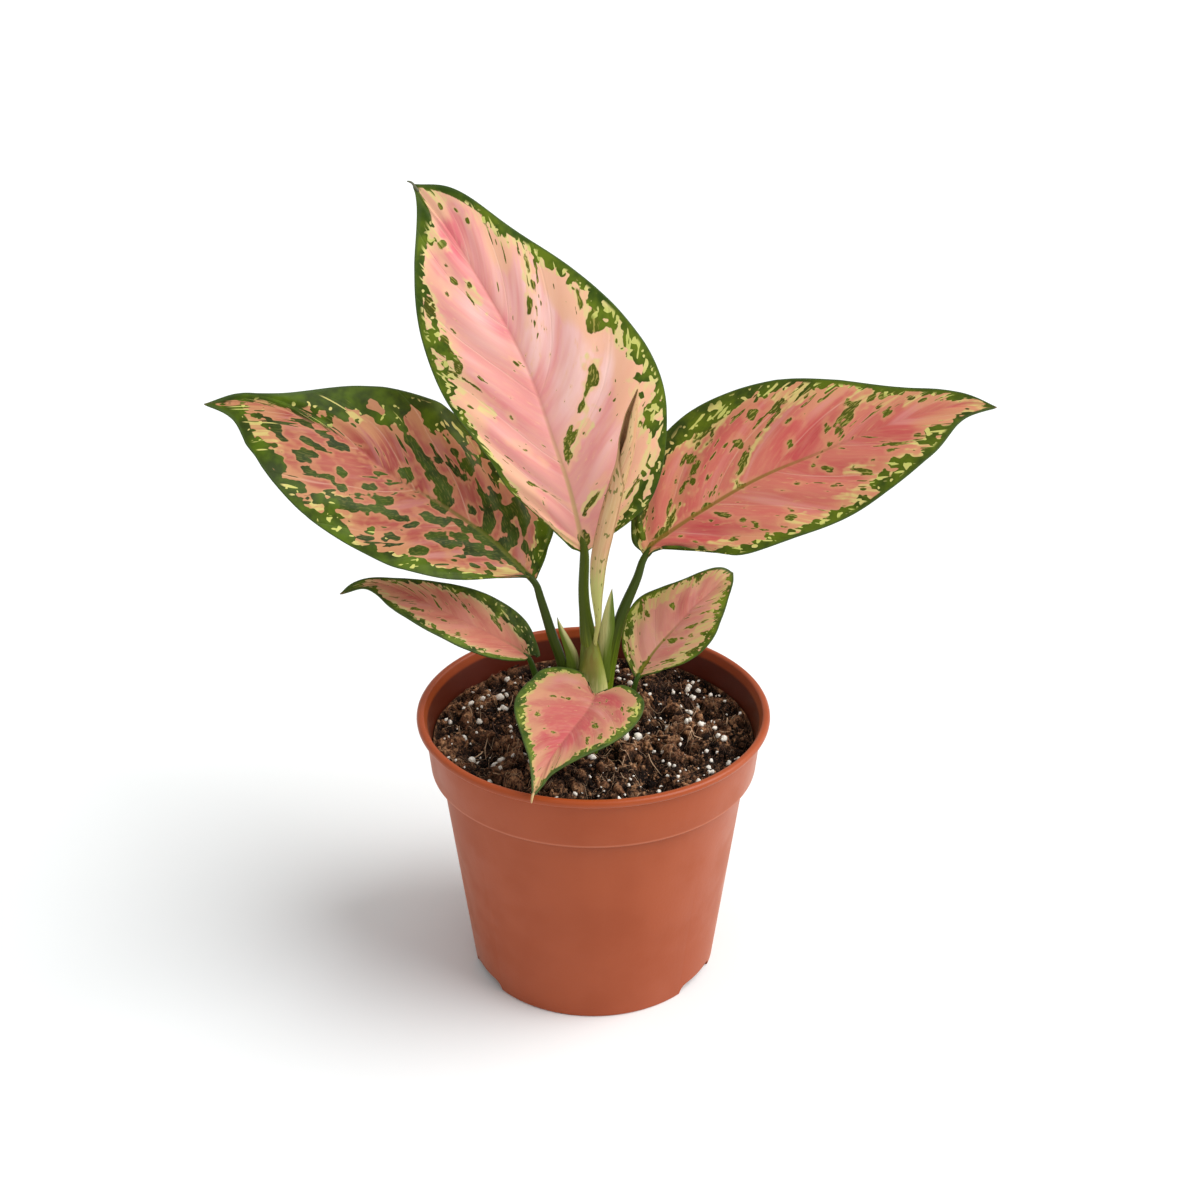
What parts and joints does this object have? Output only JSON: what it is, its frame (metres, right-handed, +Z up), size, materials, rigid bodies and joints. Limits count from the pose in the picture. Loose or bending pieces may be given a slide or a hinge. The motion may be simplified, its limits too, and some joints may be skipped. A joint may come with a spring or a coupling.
{
  "type": "potted chinese evergreen",
  "caption": "Young pink and green variegated Chinese evergreen with broad pointed leaves, growing in peat soil in a round tapered plastic nursery pot.",
  "frame": {"origin": "middle of the pot's flat underside, on the surface the pot stands on", "axes": "+Z up the pot's axis towards the plant, -Y towards the viewer of the picture, +X to the viewer's right"},
  "size_m": [0.2567, 0.1215, 0.2666],
  "materials": {
    "pot": "satin",
    "soil": "matte",
    "crown": "satin",
    "leaf_top": "satin",
    "leaf_left": "satin",
    "leaf_right": "satin",
    "leaf_lower_left": "satin",
    "leaf_lower_right": "satin",
    "leaf_front": "satin",
    "leaf_rolled": "satin"
  },
  "bodies": {
    "root": {"pot": "pot", "soil": "soil", "crown": "crown", "leaf_top": "leaf_top", "leaf_left": "leaf_left", "leaf_right": "leaf_right", "leaf_lower_left": "leaf_lower_left", "leaf_lower_right": "leaf_lower_right", "leaf_front": "leaf_front", "leaf_rolled": "leaf_rolled"}
  },
  "joints": []
}
